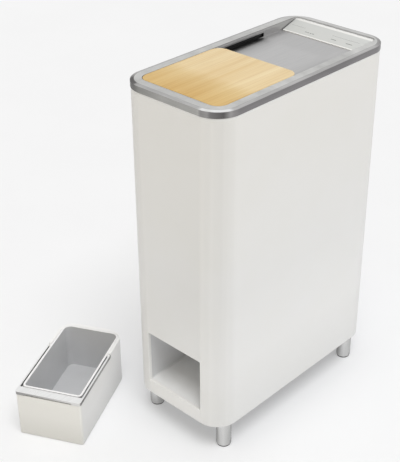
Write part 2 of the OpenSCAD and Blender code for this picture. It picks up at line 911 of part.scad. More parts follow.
// Lid

module lid_outline(inset) {
    tub_outline(lid_w - 2 * inset, lid_front + inset, lid_back - inset,
                lid_front_r - inset, lid_rear_r - inset);
}

module shoe_blocks(inner) {
    for (sx = [0, 1], y = [shoe_front, shoe_back]) mirror([sx, 0, 0])
        block([lid_w / 2 - inner, y, slot_low + fit_gap],
              [lid_w / 2 + shoe_reach, y + shoe_len, slot_high - fit_gap]);
}

module lid_panel() {
    color(WOOD) difference() {
        upright(lid_under, top_z) lid_outline(0);
        shoe_blocks(6);
    }
}

module lid_carrier() {
    color(DARK) difference() {
        upright(carrier_low, lid_under) lid_outline(carrier_inset);
        shoe_blocks(6);
        upright(carrier_low - 1, carrier_low + 1) feed_outline(-8);
    }
}

module lid_shoes() {
    color(DARK) shoe_blocks(6);
}

// Drawer

module drawer_outline(inset) {
    tub_outline(drawer_w - 2 * inset, -drawer_len / 2 + inset, drawer_len / 2 - inset,
                drawer_front_r - inset, drawer_rear_r - inset);
}

module bin_outline(grow) {
    tub_outline(bin_w + 2 * grow, bin_front - grow, bin_back + grow, 8 + grow, 18 + grow);
}

module drawer_shell() {
    color(WHITE) beside_cabinet() difference() {
        union() {
            upright(glide_h, ledge_z) drawer_outline(0);
            difference() {
                upright(ledge_z - eps, drawer_h) drawer_outline(0);
                block([-drawer_w, -drawer_len, ledge_z], [drawer_w, upstand_front, drawer_h + 1]);
            }
            for (sx = [0, 1]) mirror([sx, 0, 0]) {
                block([drawer_w / 2 - upstand_w, pivot_y, ledge_z],
                      [drawer_w / 2 - upstand_w + lug_w, upstand_front, handle_high]);
                translate([drawer_w / 2 - upstand_w, pivot_y, pivot_z])
                    rotate([0, 90, 0]) cylinder(r = arm_end_r, h = lug_w);
            }
        }
        upright(glide_h + tub_t, ledge_z - tub_t) drawer_outline(tub_t);
        upright(glide_h + tub_t + 1, ledge_z + eps) bin_outline(0.4);
        upright(ledge_z, drawer_h + 1) bin_outline(bin_lip + 0.5);
        translate([-drawer_w / 2, pivot_y, pivot_z])
            rotate([0, 90, 0]) cylinder(r = pivot_r + shaft_gap, h = drawer_w);
    }
}

module inner_bin() {
    low = glide_h + tub_t;
    color(LIGHT_GREY) beside_cabinet() difference() {
        union() {
            upright(low, drawer_h) bin_outline(0);
            upright(drawer_h - 3, drawer_h) bin_outline(bin_lip);
        }
        upright(low + bin_t, drawer_h + 1) bin_outline(-bin_t);
    }
}

module drawer_handle() {
    side_x = drawer_w / 2 + handle_reach;
    color(STEEL) beside_cabinet() difference() {
        union() {
            difference() {
                upright(handle_low, handle_high) drawer_outline(-handle_reach);
                block([-drawer_w, pivot_y, handle_low - 1], [drawer_w, drawer_len, handle_high + 1]);
            }
            translate([-side_x, pivot_y, pivot_z])
                rotate([0, 90, 0]) cylinder(r = arm_end_r, h = 2 * side_x);
        }
        block([-drawer_w / 2 + arm_w, -drawer_len / 2 + handle_depth, handle_low - 1],
              [drawer_w / 2 - arm_w, drawer_len, handle_high + 1]);
        block([-drawer_w / 2 + grip_inset, -drawer_len / 2 - handle_reach - 1, handle_low - 1],
              [drawer_w / 2 - grip_inset, -drawer_len / 2 + handle_depth + 1, handle_low + 3]);
        translate([-side_x - 1, pivot_y, pivot_z])
            rotate([0, 90, 0]) cylinder(r = pivot_r + shaft_gap, h = 2 * side_x + 2);
    }
}

module handle_pivots() {
    color(STEEL) beside_cabinet() for (sx = [0, 1]) mirror([sx, 0, 0])
        translate([drawer_w / 2 - upstand_w, pivot_y, pivot_z])
            rotate([0, 90, 0]) cylinder(r = pivot_r, h = upstand_w + handle_reach);
}

module drawer_glides() {
    color(DARK) beside_cabinet() for (sx = [-1, 1], sy = [-1, 1])
        translate([sx * 60, sy * 108, 0]) cylinder(r = 8, h = glide_h);
}

outer_shell();
base_plate();
legs();
leg_nuts();
foot_pads();
inner_frame();
top_deck();
top_rim();
lid_rails();
hopper_seal();
hopper_throat();
control_panel();
touch_board();
chamber_trough();
chamber_cover();
heater_plate();
shaft_bushes();
agitator_shaft();
agitator_paddles();
driven_gear();
drive_pinion();
drive_bracket();
gear_motor();
gate_frame();
discharge_gate();
gate_actuator();
discharge_chute();
drawer_bay();
filter_housing();
filter_cartridge();
fan_housing();
fan_impeller();
main_board();
board_standoffs();
power_inlet();
rear_panel();
panel_screws();
lid_panel();
lid_carrier();
lid_shoes();
drawer_shell();
inner_bin();
drawer_handle();
handle_pivots();
drawer_glides();
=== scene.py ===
"""Looks of an electric food waste composter: white cabinet on bright legs, wooden
sliding lid in a brushed steel rim, and a compost drawer standing on the floor.
All sizes are in metres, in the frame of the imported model."""

import json
import math

import bmesh
import bpy
from mathutils import Matrix, Vector


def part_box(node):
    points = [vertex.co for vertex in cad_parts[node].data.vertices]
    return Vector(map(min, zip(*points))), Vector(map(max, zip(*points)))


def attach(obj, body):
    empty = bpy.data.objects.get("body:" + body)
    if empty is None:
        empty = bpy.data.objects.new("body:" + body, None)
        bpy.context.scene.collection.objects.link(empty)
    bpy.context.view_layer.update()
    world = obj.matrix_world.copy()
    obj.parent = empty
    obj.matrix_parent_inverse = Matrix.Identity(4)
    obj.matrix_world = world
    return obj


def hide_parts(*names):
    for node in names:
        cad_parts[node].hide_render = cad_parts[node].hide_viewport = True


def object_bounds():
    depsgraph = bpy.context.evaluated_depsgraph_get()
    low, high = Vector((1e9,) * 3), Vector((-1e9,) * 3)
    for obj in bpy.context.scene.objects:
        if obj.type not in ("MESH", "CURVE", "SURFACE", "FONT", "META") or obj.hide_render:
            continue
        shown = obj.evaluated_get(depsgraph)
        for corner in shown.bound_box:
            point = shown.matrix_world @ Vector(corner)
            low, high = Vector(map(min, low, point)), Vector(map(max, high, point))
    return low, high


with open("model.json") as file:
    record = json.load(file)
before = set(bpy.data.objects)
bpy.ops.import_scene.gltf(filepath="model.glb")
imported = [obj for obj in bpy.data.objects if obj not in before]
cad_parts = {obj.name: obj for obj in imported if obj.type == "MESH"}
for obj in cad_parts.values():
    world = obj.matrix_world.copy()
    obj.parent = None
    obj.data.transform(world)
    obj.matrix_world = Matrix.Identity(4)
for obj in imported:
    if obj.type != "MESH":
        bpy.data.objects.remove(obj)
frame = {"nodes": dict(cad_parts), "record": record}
cad_low, cad_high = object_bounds()
CAD = frame["nodes"]
BODY_OF = {
    node: body
    for body, nodes in frame["record"]["behaviour"]["bodies"].items()
    for node in nodes
}

MM = 0.001

# Colours

def srgb(text):
    """Linear colour of a hexadecimal screen colour."""
    parts = [int(text[i : i + 2], 16) / 255 for i in (0, 2, 4)]
    linear = [p / 12.92 if p <= 0.04045 else ((p + 0.055) / 1.055) ** 2.4 for p in parts]
    return (*linear, 1.0)


# Finishes

class Finish:
    """A procedural material, built node by node on object coordinates."""

    def __init__(self, name, roughness, metallic=0.0, specular=0.5):
        self.material = bpy.data.materials.new(name)
        self.material.use_nodes = True
        self.tree = self.material.node_tree
        self.shader = self.tree.nodes["Principled BSDF"]
        self.shader.inputs["Roughness"].default_value = roughness
        self.shader.inputs["Metallic"].default_value = metallic
        self.shader.inputs["Specular IOR Level"].default_value = specular
        self.place = self.add("ShaderNodeTexCoord").outputs["Object"]
        self.normal = None

    def add(self, kind, **settings):
        node = self.tree.nodes.new(kind)
        for key, value in settings.items():
            if key in node.inputs:
                node.inputs[key].default_value = value
            else:
                setattr(node, key, value)
        return node

    def link(self, source, target):
        self.tree.links.new(source, target)

    def stretched(self, x, y, z, turn=0.0):
        """Object coordinates scaled on each axis after a turn about Z."""
        mapping = self.add("ShaderNodeMapping")
        mapping.inputs["Scale"].default_value = (x, y, z)
        mapping.inputs["Rotation"].default_value = (0, 0, turn)
        self.link(self.place, mapping.inputs["Vector"])
        return mapping.outputs["Vector"]

    def axis(self, letter, place=None):
        split = self.add("ShaderNodeSeparateXYZ")
        self.link(place or self.place, split.inputs["Vector"])
        return split.outputs[letter]

    def own_axes(self, middle, turn):
        """Object coordinates as seen from a part that stands turned at another place."""
        mapping = self.add("ShaderNodeMapping", vector_type="TEXTURE")
        mapping.inputs["Location"].default_value = middle
        mapping.inputs["Rotation"].default_value = (0, 0, turn)
        self.link(self.place, mapping.inputs["Vector"])
        return mapping.outputs["Vector"]

    def sum_of(self, operation, first, second=None):
        """The result of one sum; each part is a number or another value."""
        node = self.add("ShaderNodeMath", operation=operation)
        for socket, part in zip(node.inputs, (first, second)):
            if isinstance(part, (int, float)):
                socket.default_value = part
            elif part is not None:
                self.link(part, socket)
        return node.outputs["Value"]

    def bearing(self, far_x, far_y, corners_only=False):
        """The direction, in turns from -0.5 to 0.5, seen from the nearest of four points.

        The points lie at far_x and far_y to both sides; with corners_only the straight
        stretches between them keep the direction that they face."""
        offsets = []
        for letter, far in (("X", far_x), ("Y", far_y)):
            value = self.axis(letter)
            beyond = self.sum_of("SUBTRACT", self.sum_of("ABSOLUTE", value), far)
            if corners_only:
                beyond = self.sum_of("MAXIMUM", beyond, 0.0)
            offsets.append(self.sum_of("MULTIPLY", beyond, self.sum_of("SIGN", value)))
        angle = self.sum_of("ARCTAN2", offsets[1], offsets[0])
        return self.sum_of("DIVIDE", angle, 2 * math.pi)

    def share(self, value, low, high, smooth=False):
        """How far a value lies between two limits, from 0 to 1."""
        kind = "SMOOTHSTEP" if smooth else "LINEAR"
        node = self.add("ShaderNodeMapRange", interpolation_type=kind)
        node.inputs["From Min"].default_value = low
        node.inputs["From Max"].default_value = high
        self.link(value, node.inputs["Value"])
        return node.outputs["Result"]

    def noise(self, place, scale, detail=3.0, rough=0.5):
        node = self.add("ShaderNodeTexNoise", Scale=scale, Detail=detail, Roughness=rough)
        self.link(place, node.inputs["Vector"])
        return node.outputs["Fac"]

    def ramp(self, value, stops):
        node = self.add("ShaderNodeValToRGB")
        while len(node.color_ramp.elements) < len(stops):
            node.color_ramp.elements.new(0.5)
        for element, (at, colour) in zip(node.color_ramp.elements, stops):
            element.position = at
            element.color = colour
        self.link(value, node.inputs["Fac"])
        return node.outputs["Color"]

    def tones_round(self, bearing, tones):
        """Colours by direction, from pairs of degrees, -180 to 180, and a screen colour."""
        return self.ramp(self.share(bearing, -0.5, 0.5),
                         [(0.5 + degrees / 360, srgb(tone)) for degrees, tone in tones])

    def blend(self, kind, amount, a, b):
        """Two colours mixed by an amount, a number or another value."""
        node = self.add("ShaderNodeMix", data_type="RGBA", blend_type=kind)
        if isinstance(amount, (int, float)):
            node.inputs[0].default_value = amount
        else:
            self.link(amount, node.inputs[0])
        self.link(a, node.inputs[6])
        self.link(b, node.inputs[7])
        return node.outputs[2]

    def grain(self, height, depth, strength=1.0):
        """Adds a relief of the given depth, on top of what is there."""
        bump = self.add("ShaderNodeBump", Strength=strength, Distance=depth)
        self.link(height, bump.inputs["Height"])
        if self.normal:
            self.link(self.normal, bump.inputs["Normal"])
        self.normal = bump.outputs["Normal"]
        self.link(self.normal, self.shader.inputs["Normal"])

    def colour(self, source):
        self.link(source, self.shader.inputs["Base Color"])

    def moulded_grain(self):
        """The fine grain of a moulded surface."""
        self.grain(self.noise(self.place, 1100.0, 2.0), 0.04 * MM, 0.4)

    def gloss(self, value, low, high):
        """Roughness between two limits, led by a value from 0 to 1."""
        node = self.add("ShaderNodeMapRange")
        node.inputs["To Min"].default_value = low
        node.inputs["To Max"].default_value = high
        self.link(value, node.inputs["Value"])
        self.link(node.outputs["Result"], self.shader.inputs["Roughness"])


def powder_coat(name, light, dark, roughness=0.42, height=None, corner=None):
    """Satin coat; a tall shell of that height and those corners gets painted light: paler at its foot, a
    little darker higher up, a pale painted highlight line at its upper edge, and painted shade on the corner
    between its -Y front and +X side.
    """
    f = Finish(name, roughness, specular=0.4)
    tone = f.ramp(f.noise(f.place, 9.0), [(0.3, srgb(dark)), (0.7, srgb(light))])
    if height:
        # Painted light: paler towards the foot, a little darker up the shell, and a pale painted highlight
        # line at the top edge.
        level = f.ramp(f.share(f.axis("Z"), 0.0, height), [
            (0.28, srgb("FFFFFF")), (0.5, srgb("F6F6F6")), (0.9, srgb("F1F0EE")), (0.993, srgb("F1F0EE")),
            (0.997, srgb("FFFFFF"))])
        tone = f.blend("MULTIPLY", 1.0, tone, level)
    if corner:
        # Painted shade on the rounded corner between the -Y front and the +X side.
        turns = f.tones_round(f.bearing(*corner, corners_only=True), [
            (-90, "FFFFFF"), (-65, "FAFAFA"), (-38, "F4F4F4"), (-15, "FAFAFA"), (0, "FFFFFF")])
        tone = f.blend("MULTIPLY", 1.0, tone, turns)
    f.colour(tone)
    f.grain(f.noise(f.place, 1400.0, 2.0), 0.03 * MM, 0.35)
    f.gloss(f.noise(f.place, 60.0), roughness - 0.04, roughness + 0.05)
    return f.material


def moulded_plastic(name, light, dark, roughness):
    f = Finish(name, roughness, specular=0.45)
    f.colour(f.ramp(f.noise(f.place, 14.0), [(0.3, srgb(dark)), (0.7, srgb(light))]))
    f.moulded_grain()
    f.gloss(f.noise(f.place, 90.0), roughness - 0.05, roughness + 0.06)
    return f.material


def steel_sheet(name, light, dark, roughness, brushing):
    """Brushed steel; the brushing runs along the axes with the small numbers."""
    f = Finish(name, roughness, metallic=1.0)
    lines = f.noise(f.stretched(*brushing), 1.0, 4.0, 0.6)
    streaks = f.ramp(lines, [(0.35, srgb(dark)), (0.65, srgb(light))])
    clouds = f.ramp(f.noise(f.place, 7.0), [(0.3, srgb("E4E4E4")), (0.7, srgb("FFFFFF"))])
    f.colour(f.blend("MULTIPLY", 1.0, streaks, clouds))
    f.grain(lines, 0.02 * MM, 0.5)
    f.gloss(lines, roughness - 0.06, roughness + 0.1)
    return f.material


def deck_steel(name, light, dark, wall, level, slot_back):
    """Satin grey sheet with a painted dark reflection of the guide slots on its floor alongside them,
    darkest at the side walls.
    """
    f = Finish(name, 0.38, metallic=1.0)
    lines = f.noise(f.stretched(900, 16, 16), 1.0, 4.0, 0.6)
    streaks = f.ramp(lines, [(0.35, srgb(dark)), (0.65, srgb(light))])
    # Painted reflection of the black slots: the deck floor darkens towards the side walls beside the slots.
    near = f.share(f.sum_of("ABSOLUTE", f.axis("X")), wall - 62 * MM, wall)
    painted_slot_reflection = f.ramp(near, [(0.0, srgb("FFFFFF")), (0.45, srgb("F3F3F3")), (0.72, srgb("DADADA")),
                          (0.9, srgb("A2A2A2")), (1.0, srgb("3A3A3A"))])
    beside = f.share(f.axis("Y"), slot_back + 4 * MM, slot_back - 22 * MM, smooth=True)
    on_floor = f.share(f.axis("Z"), level + 1.5 * MM, level + 1.2 * MM)
    even = f.ramp(near, [(0.0, srgb("F9F9F9")), (1.0, srgb("FAFAFA"))])
    painted_reflection_tone = f.blend("MIX", f.sum_of("MULTIPLY", beside, on_floor), even, painted_slot_reflection)
    f.colour(f.blend("MULTIPLY", 1.0, streaks, painted_reflection_tone))
    f.grain(lines, 0.02 * MM, 0.5)
    f.gloss(lines, 0.32, 0.48)
    return f.material


def rim_steel(name, top, corner, fall=1.7 * MM, edge=1.2 * MM):
    """Brushed steel whose tones are painted reflections: a pale flat top, a thin painted dark line at its
    crease, a shoulder with painted highlights and a darker upright band.

    The shoulder and band carry painted highlights and painted dark streaks that change with the direction
    round the corners; the band is also painted darker towards -X."""
    f = Finish(name, 0.3, metallic=1.0)
    lines = f.noise(f.stretched(26, 26, 1500), 1.0, 4.0, 0.6)
    across = f.noise(f.stretched(260, 9, 40), 1.0, 3.0, 0.6)
    clouds = f.noise(f.stretched(7, 7, 1), 1.0, 2.0)
    facing = f.bearing(*corner, corners_only=True)
    # Painted reflections: the upright band's tone changes with the direction round the corners, in light and
    # dark streaks.
    band = f.tones_round(facing, [
        (-180, "969492"), (-160, "8E8C8A"), (-137, "5C5A59"), (-119, "6A6867"), (-108, "8C8A88"),
        (-90, "B8B7B3"), (-87, "C0BFBB"), (-81, "9A9897"), (-67, "A5A3A2"), (-61, "868484"),
        (-36, "6C6A6A"), (-29, "918F8F"), (-22, "AFADAD"), (-16, "A2A0A0"), (0, "908E8F"),
        (30, "7E7C7D"), (55, "8A8889"), (75, "A6A4A4"), (90, "9C9A99"), (120, "7E7C7B"),
        (150, "A2A09F"), (180, "969492")])
    # Painted highlights and dark patches on the shoulder by direction: white at the front right corner, dark
    # at the front left.
    shoulder = f.tones_round(facing, [
        (-180, "BEBDBC"), (-155, "A8A6A5"), (-137, "545251"), (-108, "6E6C6B"), (-101, "BEBCBB"),
        (-90, "C8C7C6"), (-86, "DADAD8"), (-79, "FFFFFF"), (-67, "EEEEEC"), (-54, "FFFFFF"),
        (-23, "FFFFFF"), (-14, "CCCBCA"), (0, "C6C5C4"), (20, "A3A1A1"), (45, "9A9898"),
        (70, "B4B2B1"), (90, "C8C7C6"), (120, "DCDBDA"), (150, "B4B2B1"), (180, "BEBDBC")])
    # Painted shade: the band darker towards -X.
    lengthwise = f.ramp(f.share(f.axis("X"), -120 * MM, 90 * MM), [
        (0.0, srgb("C0C0C0")), (0.5, srgb("FFFFFF")), (1.0, srgb("FAFAFA"))])
    band = f.blend("MULTIPLY", 1.0, band, lengthwise)
    height = f.axis("Z")
    steel = f.blend("MIX", f.share(height, top - fall - 0.8 * edge, top - fall - 0.1 * edge), band, shoulder)
    # The flat top's pale tone, with a thin painted dark line at the crease just below it.
    flat = f.ramp(f.share(height, top - 0.15 * MM, top - 0.04 * MM), [
        (0.0, srgb("B0AFAD")), (1.0, srgb("D8D8D6"))])
    steel = f.blend("MIX", f.share(height, top - 0.35 * MM, top - 0.1 * MM), steel, flat)
    streaks = f.ramp(lines, [(0.3, srgb("E6E6E6")), (0.7, srgb("FFFFFF"))])
    patches = f.ramp(clouds, [(0.35, srgb("EDEDED")), (0.65, srgb("FFFFFF"))])
    f.colour(f.blend("MULTIPLY", 1.0, f.blend("MULTIPLY", 1.0, steel, streaks), patches))
    f.grain(lines, 0.02 * MM, 0.4)
    f.gloss(across, 0.26, 0.4)
    return f.material


def handle_steel(name, top, middle, turn, half_width, front, back):
    """Brushed steel handle with painted reflections: a painted pale sheen on top and painted shade on the
    outer faces, darker near its corners.
    """
    f = Finish(name, 0.26, metallic=1.0)
    own = f.own_axes(middle, turn)
    # Painted shade on the outer faces: the front bar darker towards its own -X end, the arms darker towards
    # their front and back ends.
    across = f.ramp(f.share(f.axis("X", own), -half_width, half_width), [
        (0.0, srgb("9A9998")), (0.35, srgb("B4B3B1")), (0.75, srgb("D6D5D3")), (1.0, srgb("E2E1DF"))])
    along = f.ramp(f.share(f.axis("Y", own), front, back), [
        (0.0, srgb("706F6E")), (0.25, srgb("8A8988")), (0.55, srgb("B4B3B1")),
        (0.85, srgb("A6A5A3")), (0.97, srgb("7C7B7A"))])
    sides = f.blend("MIX", f.share(f.axis("Y", own), front + 1 * MM, front + 4 * MM), across, along)
    # Painted sheen: the top faces take a pale brushed tone.
    painted_top_sheen_mask = f.ramp(f.share(f.axis("Z"), top - 0.7 * MM, top - 0.15 * MM, smooth=True), [
        (0.0, srgb("000000")), (1.0, srgb("FFFFFF"))])
    bright = f.ramp(f.noise(f.stretched(300, 12, 12, turn), 1.0), [
        (0.3, srgb("ECECEB")), (0.7, srgb("F6F6F5"))])
    f.colour(f.blend("MIX", painted_top_sheen_mask, sides, bright))
    lines = f.noise(f.stretched(30, 30, 1300), 1.0, 4.0, 0.6)
    f.grain(lines, 0.02 * MM, 0.4)
    f.gloss(lines, 0.22, 0.36)
    return f.material


def rimmed_plastic(name, body_tone, rim_tone, rim_height, depth):
    """Moulded plastic whose outermost lip is paler than the rest."""
    f = Finish(name, 0.42, specular=0.45)
    mottle = f.ramp(f.noise(f.place, 14.0), [(0.3, srgb("F8F8F8")), (0.7, srgb("FFFFFF"))])
    tone = f.ramp(f.share(f.axis("Z"), rim_height - depth, rim_height),
                  [(0.0, srgb(body_tone)), (0.6, srgb(body_tone)), (0.8, srgb(rim_tone))])
    f.colour(f.blend("MULTIPLY", 1.0, tone, mottle))
    f.moulded_grain()
    return f.material


def drawer_plastic(name, middle, turn, front, back, top):
    """Satin white plastic with painted light: a little paler towards its rear and its upper edge."""
    f = Finish(name, 0.38, specular=0.45)
    own = f.own_axes(middle, turn)
    # Painted light: paler towards the rear and towards the upper edge.
    along = f.ramp(f.share(f.axis("Y", own), front, back), [
        (0.0, srgb("EBEAE5")), (0.04, srgb("E9E9E8")), (0.35, srgb("EFEFEE")), (1.0, srgb("FAFAFA"))])
    painted_light_upward = f.ramp(f.share(f.axis("Z", own), 0.0, top), [
        (0.0, srgb("EDEDEC")), (0.5, srgb("FCFCFC")), (1.0, srgb("FFFFFF"))])
    f.colour(f.blend("MULTIPLY", 1.0, along, painted_light_upward))
    f.moulded_grain()
    f.gloss(f.noise(f.place, 90.0), 0.33, 0.44)
    return f.material


def bay_plastic(name, floor):
    """Moulded lining with painted light: its floor painted paler than its walls."""
    f = Finish(name, 0.4, specular=0.45)
    # Painted light: the floor pale, the walls darker.
    tone = f.ramp(f.share(f.axis("Z"), floor + 0.3 * MM, floor + 6 * MM), [
        (0.0, srgb("F6F7F8")), (1.0, srgb("DADBDD"))])
    mottle = f.ramp(f.noise(f.place, 14.0), [(0.3, srgb("FAFAFA")), (0.7, srgb("FFFFFF"))])
    f.colour(f.blend("MULTIPLY", 1.0, tone, mottle))
    f.moulded_grain()
    f.gloss(f.noise(f.place, 90.0), 0.35, 0.46)
    return f.material


def polished_steel(name, far_x, far_y):
    """Polished legs with broad upright painted reflections, light and dark streaks round each of them."""
    f = Finish(name, 0.16, metallic=1.0)
    first_edge = 137 / 360
    whole_turn = 1.0
    painted_reflections_round = 2.0
    turned = f.sum_of("ADD", f.bearing(far_x, far_y), first_edge + whole_turn)
    around = f.sum_of("FRACT", f.sum_of("MULTIPLY", turned, painted_reflections_round))
    # Painted reflections: light and dark upright streaks by direction round each leg.
    streaks = f.ramp(around, [
        (0.0, srgb("969695")), (0.12, srgb("A6A6A5")), (0.3, srgb("D2D2D1")), (0.48, srgb("DADAD9")),
        (0.75, srgb("C2C2C1")), (0.9, srgb("A2A2A1")), (1.0, srgb("8E8E8D"))])
    wear = f.ramp(f.noise(f.stretched(60, 60, 8), 1.0), [(0.3, srgb("F2F2F2")), (0.7, srgb("FFFFFF"))])
    f.colour(f.blend("MULTIPLY", 1.0, streaks, wear))
    f.gloss(f.noise(f.place, 40.0), 0.12, 0.24)
    return f.material


def lid_wood(name, front, back):
    """Pale even wood with a painted sheen: a little deeper in tone towards the front and paler towards the
    back, with soft lengthwise grain.
    """
    f = Finish(name, 0.46, specular=0.35)
    # Painted sheen: paler towards the back, deeper and more yellow towards the front.
    tone = f.ramp(f.share(f.axis("Y"), front, back, smooth=True), [
        (0.0, srgb("DABA7C")), (0.25, srgb("E2C892")), (0.45, srgb("EDD8AC")), (1.0, srgb("F0DCB2"))])
    figure = f.noise(f.stretched(34, 1.5, 8), 1.0, 3.0, 0.55)
    figures = f.ramp(figure, [(0.34, srgb("F1E6D2")), (0.62, srgb("FFFFFF"))])
    fibre = f.noise(f.stretched(520, 6.0, 60), 1.0, 5.0, 0.6)
    fibres = f.ramp(fibre, [(0.32, srgb("F0E8DA")), (0.55, srgb("FFFFFF"))])
    f.colour(f.blend("MULTIPLY", 0.8, f.blend("MULTIPLY", 0.9, tone, figures), fibres))
    f.grain(fibre, 0.05 * MM, 0.35)
    f.gloss(fibre, 0.4, 0.55)
    return f.material


def panel_lacquer(name, front, back, half_width):
    """Satin panel lacquer with painted highlights on the lips at its front and back, and dark painted shade
    of a groove along each end.
    """
    f = Finish(name, 0.32, specular=0.5)
    # Painted highlights: pale lips at the front and back edges.
    tone = f.ramp(f.share(f.axis("Y"), front, back), [
        (0.03, srgb("FAFAF8")), (0.07, srgb("D1D3D1")), (0.81, srgb("D2D4D3")), (0.87, srgb("FAFAF8"))])
    mottle = f.ramp(f.noise(f.place, 30.0), [(0.3, srgb("FAFAFA")), (0.7, srgb("FFFFFF"))])
    # Painted shade: a dark strip along each end, where a groove meets the wall.
    painted_groove_shade = f.ramp(f.share(f.sum_of("ABSOLUTE", f.axis("X")), half_width - 2.2 * MM, half_width - 0.6 * MM), [
        (0.0, srgb("FFFFFF")), (0.4, srgb("FFFFFF")), (0.65, srgb("949493"))])
    f.colour(f.blend("MULTIPLY", 1.0, f.blend("MULTIPLY", 1.0, tone, mottle), painted_groove_shade))
    f.grain(f.noise(f.place, 1300.0, 2.0), 0.03 * MM, 0.3)
    return f.material


def spangled_zinc(name, light="A9ACAE", dark="8E9194"):
    f = Finish(name, 0.38, metallic=0.9)
    cells = f.add("ShaderNodeTexVoronoi", Scale=160.0)
    f.link(f.place, cells.inputs["Vector"])
    f.colour(f.ramp(cells.outputs["Distance"], [(0.1, srgb(light)), (0.7, srgb(dark))]))
    f.gloss(cells.outputs["Distance"], 0.3, 0.5)
    return f.material


def soft_rubber(name):
    f = Finish(name, 0.72, specular=0.3)
    f.colour(f.ramp(f.noise(f.place, 200.0), [(0.3, srgb("1B1B1C")), (0.7, srgb("29292A"))]))
    f.grain(f.noise(f.place, 900.0), 0.06 * MM, 0.5)
    return f.material


def board_lacquer(name):
    """Green board with faint copper runs under the lacquer."""
    f = Finish(name, 0.3, specular=0.5)
    runs = f.add("ShaderNodeTexBrick", Scale=130.0)
    runs.inputs["Color1"].default_value = srgb("1F6B3F")
    runs.inputs["Color2"].default_value = srgb("1A5C36")
    runs.inputs["Mortar"].default_value = srgb("3B8A55")
    runs.inputs["Mortar Size"].default_value = 0.03
    f.link(f.place, runs.inputs["Vector"])
    f.colour(runs.outputs["Color"])
    f.grain(f.noise(f.place, 500.0), 0.03 * MM, 0.4)
    return f.material


def machined_steel(name):
    f = Finish(name, 0.32, metallic=1.0)
    rings = f.add("ShaderNodeTexWave", wave_type="RINGS", rings_direction="Y", Scale=600.0, Distortion=1.0)
    f.link(f.place, rings.inputs["Vector"])
    f.colour(f.ramp(rings.outputs["Fac"], [(0.2, srgb("8A8A88")), (0.8, srgb("A5A5A3"))]))
    f.grain(rings.outputs["Fac"], 0.01 * MM, 0.5)
    return f.material


def pleated_fleece(name):
    f = Finish(name, 0.9, specular=0.1)
    f.colour(f.ramp(f.noise(f.place, 600.0, 4.0), [(0.3, srgb("D5D4CC")), (0.7, srgb("EAE9E2"))]))
    f.grain(f.noise(f.place, 1500.0, 3.0), 0.15 * MM, 0.7)
    return f.material


def heater_mat(name):
    f = Finish(name, 0.55, specular=0.4)
    weave = f.add("ShaderNodeTexWave", Scale=300.0, Distortion=0.3)
    f.link(f.place, weave.inputs["Vector"])
    f.colour(f.ramp(weave.outputs["Fac"], [(0.2, srgb("8A4424")), (0.8, srgb("A25A33"))]))
    f.grain(weave.outputs["Fac"], 0.1 * MM, 0.6)
    return f.material


# Sizes of the model that its frame does not list

SHELL_CORNER = 57 * MM
RIM_CORNER = 60 * MM
RECESS_DEPTH = 18.5 * MM
PANEL_RUN = 50.0 * MM
PANEL_RISE = 15.5 * MM
BAY_WALL = 3 * MM
RAIL_PAST_SLOT = 4 * MM
LEG_PLACE = (111 * MM, 232.5 * MM)
DRAWER_HALF_LENGTH = 143.5 * MM
PIVOT_BEHIND_MIDDLE = 44 * MM
HANDLE_HALF_WIDTH = 82 * MM
HANDLE_FRONT = -144.5 * MM
HANDLE_BACK = 48 * MM

# Places read from the frame

shell_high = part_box("outer_shell")[1]
rim_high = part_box("top_rim")[1]
rim_top = rim_high.z
rim_corner = (rim_high.x - RIM_CORNER, rim_high.y - RIM_CORNER)
deck_level = rim_top - RECESS_DEPTH
slot_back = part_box("lid_rails")[1].y - RAIL_PAST_SLOT
lid_low, lid_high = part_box("lid_panel")
panel_low, panel_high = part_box("control_panel")
bin_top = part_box("inner_bin")[1].z

hinge = next(j for j in frame["record"]["behaviour"]["joints"] if j["name"] == "handle_hinge")
drawer_turn = math.atan2(-hinge["axis"][1], -hinge["axis"][0])
pivot_offset = Matrix.Rotation(drawer_turn, 3, "Z") @ Vector((0, PIVOT_BEHIND_MIDDLE, 0))
drawer_middle = Vector(hinge["pos_m"]) - pivot_offset
drawer_middle.z = 0.0

# Materials

CABINET_WHITE = powder_coat("cabinet_white", "F6F6F5", "F5F5F3", height=shell_high.z,
                            corner=(shell_high.x - SHELL_CORNER, shell_high.y - SHELL_CORNER))
DRAWER_WHITE = drawer_plastic("drawer_white", drawer_middle, drawer_turn, -DRAWER_HALF_LENGTH,
                              DRAWER_HALF_LENGTH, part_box("drawer_shell")[1].z)
BIN_GREY = rimmed_plastic("bin_grey", "C9CACC", "FBFBFC", bin_top, 4 * MM)
BAY_GREY = moulded_plastic("bay_white", "EAEBED", "E5E6E8", 0.4)
BAY_LINING = bay_plastic("bay_lining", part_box("drawer_bay")[0].z + BAY_WALL)
DECK_GREY = deck_steel("deck_grey", "C9C8C8", "BEBEBE", lid_high.x, deck_level, slot_back)
PANEL_WHITE = panel_lacquer("panel_lacquer", panel_low.y, panel_high.y, panel_high.x)
PANEL_PRINT = moulded_plastic("panel_print", "747675", "6C6E6D", 0.5)
BLACK_PLASTIC = moulded_plastic("black_plastic", "262627", "1D1D1E", 0.45)
GREY_PLASTIC = moulded_plastic("grey_plastic", "A5A7A7", "9A9C9C", 0.45)
RIM_STEEL = rim_steel("rim_steel", rim_top, rim_corner)
HANDLE_STEEL = handle_steel("handle_steel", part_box("drawer_handle")[1].z, drawer_middle, drawer_turn,
                            HANDLE_HALF_WIDTH, HANDLE_FRONT, HANDLE_BACK)
CHAMBER_STEEL = steel_sheet("chamber_steel", "C2C2C0", "B0B0AE", roughness=0.3, brushing=(20, 900, 20))
LEG_STEEL = polished_steel("leg_steel", *LEG_PLACE)
ZINC = spangled_zinc("zinc", "C4C4BE", "A6A6A0")
GALVANISED = spangled_zinc("galvanised")
RUBBER = soft_rubber("rubber")
GEAR_STEEL = machined_steel("gear_steel")
